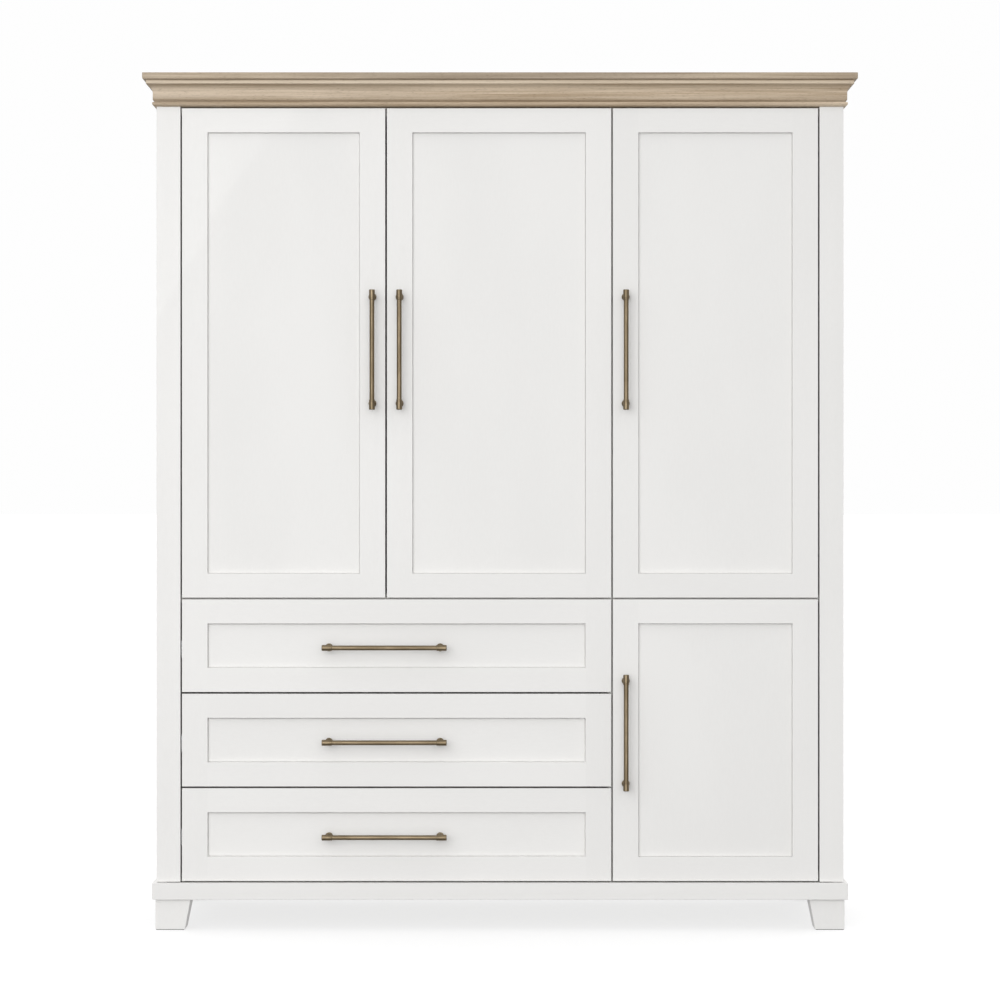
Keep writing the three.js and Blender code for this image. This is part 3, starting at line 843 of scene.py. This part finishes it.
# %% Crown moulding and cap
CROWN_EDGE = 0.45 * MM
CAP_EDGE = 1.0 * MM
for node, along in (("crown_front", "x"), ("crown_left", "y"), ("crown_right", "y")):
    moulding = grain(ease(copy_of(node), CROWN_EDGE), along)
    made = finished(f"{node}_made", [moulding], crown_oak, "case", [node])
    print(node, len(made.data.polygons), "faces")
cap = grain(ease(copy_of("cap_board"), CAP_EDGE, 3), "x")
finished("cap_board_made", [cap], oak, "case", ["cap_board"])

# %% [markdown]
# ## Bar pulls
#
# A pull is a bar through two sleeves, each on a short post with a round foot. All of them are lathe
# work: an outline with a chamfer at the end, a fine ring in the sleeve and a step down to the bar.
# Spinning it gives true round sections that catch one long highlight, as the real bar does.

# %% Bar pulls
SLEEVE = 6.3
BAR = 5.2
SLEEVE_LENGTH = 22
POST_FROM_END = 14.3


def bar_outline(length):
    """Half the outline of the bar and its two sleeves, from one end to the other."""
    end = [
        (0, 0), (SLEEVE - 1.3, 0), (SLEEVE - 0.4, 0.4), (SLEEVE, 1.3), (SLEEVE, 17.4),
        (SLEEVE - 0.5, 17.8), (SLEEVE - 0.5, 18.4), (SLEEVE, 18.8), (SLEEVE, 21.0),
        (SLEEVE - 0.4, 21.8), (BAR, SLEEVE_LENGTH),
    ]
    return end + [(radius, length - height) for radius, height in reversed(end)]


def post_outline(reach):
    """A round foot on the wood, a waist, and a collar under the bar."""
    return [
        (0, 0), (8.0, 0), (8.5, 0.5), (8.5, 3.2), (8.1, 4.2), (6.2, 4.9),
        (5.2, 6.4), (4.9, 9.0), (4.9, reach - 8), (5.3, reach - 6.4), (5.3, reach), (0, reach),
    ]


def bar_pull(node, body, back_of_wood):
    """A pull on a door or drawer, with the two screws that hold it from behind."""
    low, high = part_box(node)
    middle = (low + high) / 2
    along = "x" if high.x - low.x > high.z - low.z else "z"
    direction = Vector(AXES[along])
    length = max(high - low)
    bar_middle = Vector((middle.x, low.y + SLEEVE * MM, middle.z))
    reach = (high.y - bar_middle.y) / MM
    bar = turned(bar_outline(length / MM), bar_middle - direction * length / 2, along, 40)
    shapes = [bar]
    screws = []
    for side in (-1, 1):
        at = bar_middle + side * direction * (length / 2 - POST_FROM_END * MM)
        shapes.append(turned(post_outline(reach), (at.x, high.y, at.z), "-y", 32))
        screws.append(screw((at.x, back_of_wood, at.z), "y", 1.1))
    hardware(f"{node}_screws", screws, zinc, body)
    return hardware(f"{node}_made", shapes, brass, body, [node], along)


print("bar outline:", len(bar_outline(256)), "points")

# %% [markdown]
# ## Doors
#
# The frame of a door is one ring. It starts as a board, is scored along the four edges of its opening,
# loses the two middle faces, and has the hole lined by bridging the loops that are left. The edges are
# eased while the mesh is still clean, and only then are the groove and the hinge cups milled. Stiles run
# the full height and their grain stands, rails lie between them, and the grain changes at that line.
# Where the panel meets the frame, a line a millimetre wide and twice as deep is cut into its face,
# which draws the crisp dark line round it. The outer edges are planed by a third of a millimetre, so
# that the gaps between the fronts stay open and dark once the paint is on.

# %% The frame of a door
CUP_RADIUS = 17.5
CUP_DEPTH = 11.5
CUP_FROM_EDGE = 22.5 * MM
PLANED = Vector((0.35 * MM, 0, 0.35 * MM))
joints = {joint["child"]: joint for joint in frame["joints"]}


def score(bm, point, across):
    """Draws a line of edges where a plane meets the mesh."""
    parts = list(bm.verts) + list(bm.edges) + list(bm.faces)
    bmesh.ops.bisect_plane(bm, geom=parts, plane_co=point, plane_no=across, dist=0.001 * MM)


def ring(low, high, opening_low, opening_high, width):
    """A board with a rectangular opening through it and eased edges."""
    bm = block(low, high)
    for point in (opening_low, opening_high):
        score(bm, point, (1, 0, 0))
        score(bm, point, (0, 0, 1))
    middle = (opening_low + opening_high) / 2
    inside = []
    for face in bm.faces:
        offset = face.calc_center_median() - middle
        if abs(offset.x) < MM and abs(offset.z) < MM and abs(face.normal.y) > 0.9:
            inside.append(face)
    bmesh.ops.delete(bm, geom=inside, context="FACES_ONLY")
    bmesh.ops.bridge_loops(bm, edges=[edge for edge in bm.edges if edge.is_boundary])
    bmesh.ops.recalc_face_normals(bm, faces=bm.faces)
    return ease(bm, width)


LINE_WIDTH = 1.1 * MM
LINE_DEPTH = 2.2 * MM
LINE_WALL = 0.05 * MM
LINE_UNDER = 0.3 * MM


def field_of(bm, middle):
    """The faces in the middle of the front of a board."""
    bm.normal_update()
    field = []
    for face in bm.faces:
        offset = face.calc_center_median() - middle
        if abs(offset.x) < MM and abs(offset.z) < MM and face.normal.y < -0.9:
            field.append(face)
    return field


def score_field(bm, low, high):
    """Draws the outline of a field on a board."""
    for point in (low, high):
        score(bm, point, (1, 0, 0))
        score(bm, point, (0, 0, 1))


def line_round(bm, field):
    """Cuts a fine line round a field: down its wall, along its floor and up again."""
    for thickness, depth in ((LINE_WALL, -LINE_DEPTH), (LINE_WIDTH, 0.0), (LINE_WALL, LINE_DEPTH)):
        bmesh.ops.inset_region(bm, faces=field, thickness=thickness, depth=depth, use_even_offset=True)


def door_panel(door):
    """The panel of a door, with the line along the foot of its frame."""
    low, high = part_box(f"{door}_panel")
    seen = Vector((GROOVE - LINE_UNDER, 0, GROOVE - LINE_UNDER))
    bm = ease(block(low, high), FINE)
    score_field(bm, low + seen, high - seen)
    line_round(bm, field_of(bm, (low + high) / 2))
    return grain(bm, "z")


def hinge_places(door):
    """The edge that the door turns on, which way its wood lies from there, and its hinge heights."""
    edge = joints[door]["pos_m"][0]
    low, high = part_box(f"{door}_frame")
    into = 1 if (low.x + high.x) / 2 > edge else -1
    heights = []
    for place in ("low", "high"):
        arm_low, arm_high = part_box(f"{door}_hinge_{place}")
        heights.append((place, (arm_low.z + arm_high.z) / 2))
    return edge, into, heights


def door_frame(door):
    """The ring of a door with its groove and the bores for its hinge cups."""
    low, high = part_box(f"{door}_frame")
    panel_low, panel_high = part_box(f"{door}_panel")
    edge_in = Vector((GROOVE, 0, GROOVE))
    opening_low, opening_high = panel_low + edge_in, panel_high - edge_in
    shape = ring(low + PLANED, high - PLANED, opening_low, opening_high, EASED)
    edge, into, heights = hinge_places(door)
    cutters = [block(panel_low - play, panel_high + play)]
    for _, height in heights:
        mouth = (edge + into * CUP_FROM_EDGE, high.y + MM, height)
        cutters.append(pin(CUP_RADIUS, CUP_DEPTH + 1, mouth, "-y", 0.3, 32))
    shape = carve(shape, gathered(cutters))

    def which_way(point):
        return "x" if opening_low.x < point.x < opening_high.x else "z"

    return grain(shape, which_way)


doors = ["wardrobe_left_door", "wardrobe_right_door", "upper_cupboard_door", "lower_cupboard_door"]
for door in doors:
    node = f"{door}_frame"
    made = finished(f"{node}_made", [door_frame(door)], paint, door, [node])
    panel = f"{door}_panel"
    finished(f"{panel}_made", [door_panel(door)], board_paint, door, [panel])
    bar_pull(f"{door}_pull", door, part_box(node)[1].y)
    print(door, len(made.data.polygons), "faces")

# %% [markdown]
# ## Concealed hinges
#
# These doors turn on cup hinges that don't show from outside. A cup is pressed into the door, an arm is
# screwed to the case, and a short steel link swings between them. The cup rides on the door and the
# arm on the case. The link is made where it lies with the door shut, and rides on neither.

# %% Hinge arms on the case
PLATE_THICK = 2.4 * MM
PLATE_SPAN = (26 * MM, 44 * MM)
PLATE_SCREWS = 35 * MM
PLATE_SCREW_RISE = 20 * MM
ARM_BELOW_FREE = 1.4 * MM
ARM_START = 9 * MM
ARM_HALF = 6.6 * MM
ARM_SCREWS = (24 * MM, 50 * MM)
NOSE_END = 16 * MM
NOSE_HALF = 5 * MM


def each_hinge():
    """For every hinge: its door, its name, the edge it turns on, the side of the wood and its height."""
    for door in doors:
        edge, into, heights = hinge_places(door)
        for place, height in heights:
            yield door, place, edge, into, height


def hinge_arm(door, place, into, height):
    """The mounting plate and the arm of one hinge, with its screws."""
    node = f"{door}_hinge_{place}"
    low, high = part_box(node)
    wall, free = (low.x, high.x) if into > 0 else (high.x, low.x)
    face = "x" if into > 0 else "-x"
    plate_face = wall + into * PLATE_THICK
    arm_face = free - into * ARM_BELOW_FREE
    arm_low, arm_high = span(plate_face, arm_face)
    plate_low, plate_high = span(wall, plate_face)
    plate_near, plate_far = (low.y + run for run in PLATE_SPAN)
    plate = block((plate_low, plate_near, low.z), (plate_high, plate_far, high.z))
    arm = block((arm_low, low.y + ARM_START, height - ARM_HALF), (arm_high, high.y, height + ARM_HALF))
    nose = block((arm_low, low.y, height - NOSE_HALF), (arm_high, low.y + NOSE_END, height + NOSE_HALF))
    shapes = [ease(plate, 0.5 * MM), ease(arm, 1.8 * MM, 3), ease(nose, 1.4 * MM, 3)]
    for rise in (-PLATE_SCREW_RISE, PLATE_SCREW_RISE):
        shapes.append(screw((plate_face, low.y + PLATE_SCREWS, height + rise), face, 0.8))
    for run in ARM_SCREWS:
        shapes.append(screw((arm_face, low.y + run, height), face, 0.75))
    return hardware(f"{node}_made", shapes, zinc, "case", [node])


for door, place, _, into, height in each_hinge():
    made = hinge_arm(door, place, into, height)
print("a hinge arm has", len(made.data.polygons), "faces")

# %% Hinge cups in the doors
CUP = [
    (0, -11.2), (16.2, -11.2), (17.3, -10.4), (17.3, 0.1), (19.2, 0.1), (19.4, 0.5),
    (19.0, 0.9), (16.6, 1.0), (16.0, 0.6), (16.0, -9.4), (15.2, -10.2), (0, -10.2),
]
EAR_HALF = 9 * MM
EAR_SPAN = (17.6 * MM, 29 * MM)
EAR_FACES = (0.05 * MM, 0.9 * MM)
EAR_SCREW = (0.7 * MM, 23.5 * MM)


def hinge_cup(door, place, edge, into, height):
    """The cup with its two ears and their screws, let into the back of a door."""
    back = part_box(f"{door}_frame")[1].y
    x = edge + into * CUP_FROM_EDGE
    shapes = [turned(CUP, (x, back, height), "y", 40)]
    for side in (-1, 1):
        near, far = span(height + side * EAR_SPAN[0], height + side * EAR_SPAN[1])
        ear = block((x - EAR_HALF, back + EAR_FACES[0], near), (x + EAR_HALF, back + EAR_FACES[1], far))
        shapes.append(ease(ear, 0.3 * MM))
        shapes.append(screw((x, back + EAR_SCREW[0], height + side * EAR_SCREW[1]), "y", 0.62))
    return hardware(f"{door}_cup_{place}", shapes, zinc, door)


for hinge in each_hinge():
    made = hinge_cup(*hinge)
print("a hinge cup has", len(made.data.polygons), "faces")

# %% Links between arm and cup
LINK_STEPS = 14
LINK_WIDTH = 8.4 * MM
LINK_THICK = 2.2 * MM
LINK_START = (3.5 * MM, 6 * MM)
LINK_END = (21 * MM, 7 * MM)


def hinge_link(door, place, edge, into, height):
    """A strap from inside the arm to inside the cup, made where it lies with the door shut."""
    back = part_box(f"{door}_frame")[1].y
    arm_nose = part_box(f"{door}_hinge_{place}")[0].y
    start = Vector((edge + into * LINK_START[0], arm_nose + LINK_START[1], height))
    end = Vector((edge + into * LINK_END[0], back - LINK_END[1], height))
    length = (end - start).length
    strap = block((0, -LINK_THICK / 2, -LINK_WIDTH / 2), (length, LINK_THICK / 2, LINK_WIDTH / 2))
    ease(strap, 0.5 * MM)
    for step in range(1, LINK_STEPS):
        score(strap, (length * step / LINK_STEPS, 0, 0), (1, 0, 0))
    turn = Matrix.Rotation(math.atan2(end.y - start.y, end.x - start.x), 4, "Z")
    bmesh.ops.transform(strap, matrix=Matrix.Translation(start) @ turn, verts=strap.verts)
    link = finished(f"{door}_link_{place}", [grain(strap, "x")], zinc, None)
    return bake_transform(link)


for hinge in each_hinge():
    hinge_link(*hinge)
print("links:", 2 * len(doors))

# %% Bumpers
BUMPER_RADIUS = 3.4
BUMPER_INSET = 12 * MM
BUMPER_RISE = 3.9 * MM
dome = [(0, 0), (BUMPER_RADIUS, 0), (BUMPER_RADIUS, 0.6), (2.8, 1.3), (1.6, 1.7), (0, 1.8)]
for door in doors:
    low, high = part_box(f"{door}_frame")
    _, into, _ = hinge_places(door)
    free_edge = high.x if into > 0 else low.x
    x = free_edge - into * BUMPER_INSET
    rises = (low.z + BUMPER_RISE, high.z - BUMPER_RISE * 2)
    shapes = [turned(dome, (x, high.y, z), "y", 20) for z in rises]
    hardware(f"{door}_bumpers", shapes, soft_plastic, door)
print("bumpers:", 2 * len(doors))

# %% [markdown]
# ## Drawers
#
# A drawer front is one board with its field sunk to the depth of the door panels. After the face is
# scored, one inset with a depth sinks the field and gives its wall a slight draft. Behind it is a
# birch box of five boards, and on each side the steel member that runs in the channel on the case.

# %% Drawer fronts
FIELD_DRAFT = 0.4 * MM


def sunk_front(node, stile, rail, depth):
    """A drawer front with its field sunk below its border."""
    low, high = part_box(node)
    bm = block(low + PLANED, high - PLANED)
    field_low = low + Vector((stile, 0, rail))
    field_high = high - Vector((stile, 0, rail))
    score_field(bm, field_low, field_high)
    middle = (field_low + field_high) / 2
    field = field_of(bm, middle)
    bmesh.ops.inset_region(bm, faces=field, thickness=FIELD_DRAFT, depth=-depth, use_even_offset=True)
    ease(bm, EASED)
    line_round(bm, field_of(bm, middle))

    def which_way(point):
        return "z" if not field_low.x < point.x < field_high.x else "x"

    return grain(bm, which_way)


door_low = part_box("wardrobe_left_door_frame")[0]
panel_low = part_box("wardrobe_left_door_panel")[0]
stile_width = panel_low.x + GROOVE - door_low.x
rail_width = panel_low.z + GROOVE - door_low.z
panel_depth = panel_low.y - door_low.y
print("stile, rail, sink:", [round(size / MM, 1) for size in (stile_width, rail_width, panel_depth)])

# %% Drawer boxes, runners and pulls
SIDE = 12 * MM
BOTTOM = 6 * MM
BOTTOM_RISE = 10 * MM
MEMBER_GAP = 3 * MM
MEMBER_HALF = 8.6 * MM
MEMBER_SHORT = 2 * MM
BOX_EDGE = 0.9 * MM
SCREW_FROM_SIDE = 0.09
SCREW_FROM_FOOT = 0.035
SCREW_FROM_TOP = 0.03


def birch_box(node):
    """Four sides and a bottom between them."""
    low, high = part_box(node)
    left, right = (low.x, low.x + SIDE), (high.x - SIDE, high.x)
    across = (left[1], right[0])
    depth = (low.y, high.y)
    near, far = (low.y, low.y + SIDE), (high.y - SIDE, high.y)
    tall = (low.z, high.z)
    bottom = (low.z + BOTTOM_RISE, low.z + BOTTOM_RISE + BOTTOM)
    return [
        stick(left, depth, tall, "y", width=BOX_EDGE),
        stick(right, depth, tall, "y", width=BOX_EDGE),
        stick(across, near, tall, "x", width=FINE),
        stick(across, far, tall, "x", width=FINE),
        stick(across, (near[1], far[0]), bottom, "x", width=0.2 * MM),
    ]


def running_member(channel, box, drawer, side):
    """The steel strip on the side of the box that runs inside the channel."""
    low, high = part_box(channel)
    box_low, box_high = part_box(box)
    middle = (low.z + high.z) / 2
    wall, wood = (low.x, box_low.x) if side == "left" else (high.x, box_high.x)
    inward = 1 if side == "left" else -1
    x_low, x_high = span(wall + inward * MEMBER_GAP, wood)
    near, far = low.y + MEMBER_SHORT, high.y - MEMBER_SHORT
    strip = block((x_low, near, middle - MEMBER_HALF), (x_high, far, middle + MEMBER_HALF))
    return hardware(f"{drawer}_member_{side}", [ease(strip, 1.2 * MM)], zinc, drawer)


for drawer in ("top_drawer", "middle_drawer", "bottom_drawer"):
    front, box = f"{drawer}_front", f"{drawer}_box"
    shape = sunk_front(front, stile_width, rail_width, panel_depth)
    finished(f"{front}_made", [shape], paint, drawer, [front])
    finished(f"{box}_made", birch_box(box), birch, drawer, [box])
    for side in ("left", "right"):
        channel = f"{drawer}_runner_{side}"
        hardware(f"{channel}_made", [copy_of(channel)], zinc, "case", [channel])
        running_member(channel, box, drawer, side)
    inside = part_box(box)[0].y + SIDE
    bar_pull(f"{drawer}_pull", drawer, inside)
    low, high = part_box(box)
    heads = []
    for x in (low.x + SCREW_FROM_SIDE, high.x - SCREW_FROM_SIDE):
        for z in (low.z + SCREW_FROM_FOOT, high.z - SCREW_FROM_TOP):
            heads.append(screw((x, inside, z), "y"))
    hardware(f"{drawer}_front_screws", heads, zinc, drawer)
    print(drawer, "done")

# %% [markdown]
# ## Screws in the back
#
# The back panel stiffens the whole case, so it is screwed to every board that it crosses. The heads
# follow the edges of those boards, which is why they stand in lines.

# %% Back panel screws
SCREW_PITCH = 0.17
PARTITION_SCREWS = 8
BACK_SCREW = 0.9
back_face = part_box("back_panel")[1].y
heads = []
for board in ("bottom_board", "wardrobe_floor", "cupboard_divider", "top_board"):
    low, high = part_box(board)
    count = max(2, round((high.x - low.x) / SCREW_PITCH))
    for step in range(count):
        x = low.x + (high.x - low.x) * (step + 0.5) / count
        heads.append(screw((x, back_face, (low.z + high.z) / 2), "y", BACK_SCREW))
low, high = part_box("centre_partition")
for step in range(1, PARTITION_SCREWS + 1):
    z = low.z + (high.z - low.z) * step / (PARTITION_SCREWS + 1)
    heads.append(screw(((low.x + high.x) / 2, back_face, z), "y", BACK_SCREW))
print("screws in the back:", len(heads))
hardware("back_panel_screws", heads, zinc, "case")

# %% [markdown]
# ## Studio
#
# White furniture on white needs light from everywhere, or its shadows turn it grey, and a little more
# from one side, or it goes flat. The sky is an even white to the camera, but as a light it is dimmer
# from below and brighter from behind. A soft lamp on the left, a little above the middle, gives the
# sunk panels their darker top and left edges, and a larger one in front fills the rest. The floor
# glows, so that it stays as pale as the backdrop and only a soft shade is left under the cabinet.

# %% Floor and sky
FLOOR_HALF = 200.0
FLOOR_GLOW = 0.68


def pale_floor():
    """A floor that looks as bright as the sky, with a faint tooth."""
    glow = {"Emission_Color": (1, 1, 1, 1), "Emission_Strength": FLOOR_GLOW}
    finish = Finish("pale_floor", Roughness=0.9, **glow)
    place = finish.node("ShaderNodeTexCoord", {}, {}, output=3)
    tooth = finish.noise(finish.stretched(place, 300.0, 300.0), detail=2.0)
    tone = finish.mix(tooth, chip(152, 152, 152), chip(148, 148, 148))
    return finish.wear(tone, 0.9 - tooth * 0.05, tooth, depth=0.05 * MM)


floor_shape = bmesh.new()
bmesh.ops.create_grid(floor_shape, x_segments=1, y_segments=1, size=FLOOR_HALF)
floor_mesh = mesh_of(floor_shape, "floor")
floor_mesh.materials.append(pale_floor())
floor = bpy.data.objects.new("floor", floor_mesh)
scene.collection.objects.link(floor)

floor.visible_diffuse = False
floor.visible_glossy = False
print("floor:", 2 * FLOOR_HALF, "m across")

# %% Sky
SKY_SEEN = 0.99
SKY_UNDERFOOT = 0.34
SKY_ROUND = 0.84
SKY_OVERHEAD = 0.3
ROOM_SHARE = 0.9
BEHIND_SHARE = 1.7


def white_sky():
    """White where the camera looks; as light, dim underfoot and in front, bright behind and overhead."""
    sky = bpy.data.worlds.new("white sky")
    sky.use_nodes = True
    nodes, links = sky.node_tree.nodes, sky.node_tree.links
    direction = nodes.new("ShaderNodeSeparateXYZ")
    links.new(nodes.new("ShaderNodeTexCoord").outputs["Generated"], direction.inputs[0])

    def step(socket, *limits):
        """A smooth step: from low, from high, to low, to high."""
        made = nodes.new("ShaderNodeMapRange")
        made.interpolation_type = "SMOOTHSTEP"
        for index, value in enumerate(limits, start=1):
            made.inputs[index].default_value = value
        links.new(socket, made.inputs[0])
        return made.outputs[0]

    def maths(operation, a, b):
        made = nodes.new("ShaderNodeMath")
        made.operation = operation
        links.new(a, made.inputs[0])
        links.new(b, made.inputs[1])
        return made.outputs[0]

    around = step(direction.outputs["Z"], -0.3, 0.5, SKY_UNDERFOOT, SKY_ROUND)
    behind = step(direction.outputs["Y"], -0.05, 0.5, ROOM_SHARE, BEHIND_SHARE)
    overhead = step(direction.outputs["Z"], 0.5, 0.95, 0.0, SKY_OVERHEAD)
    light = maths("ADD", maths("MULTIPLY", around, behind), overhead)
    seen = nodes.new("ShaderNodeMapRange")
    seen.inputs["To Max"].default_value = SKY_SEEN
    links.new(nodes.new("ShaderNodeLightPath").outputs["Is Camera Ray"], seen.inputs["Value"])
    links.new(light, seen.inputs["To Min"])
    links.new(seen.outputs[0], nodes["Background"].inputs["Strength"])
    nodes["Background"].inputs["Color"].default_value = (1, 1, 1, 1)
    return sky


scene.world = white_sky()
scene.view_settings.view_transform = "Standard"
print("sky:", scene.world.name)


# %% Lamps
def soft_lamp(name, place, aim, size, watts):
    """A square soft box at a place, turned to shine at a point."""
    light = bpy.data.lights.new(name, "AREA")
    light.shape = "SQUARE"
    light.size = size
    light.energy = watts
    lamp = bpy.data.objects.new(name, light)
    lamp.location = place
    lamp.rotation_euler = (Vector(aim) - Vector(place)).to_track_quat("-Z", "Y").to_euler()
    lamp.visible_camera = False
    scene.collection.objects.link(lamp)
    return lamp


face_centre = Vector((0, door_face, CAMERA_HEIGHT))
LAMPS = {                 # place seen from the middle of the doors, size in metres, watts
    "key lamp": (Vector((-2.5, -5.6, 1.5)), 4.2, 84),
    "front lamp": (Vector((-0.4, -7.4, -0.6)), 6.0, 278),
}
for name, (offset, size, watts) in LAMPS.items():
    soft_lamp(name, face_centre + offset, face_centre, size, watts)
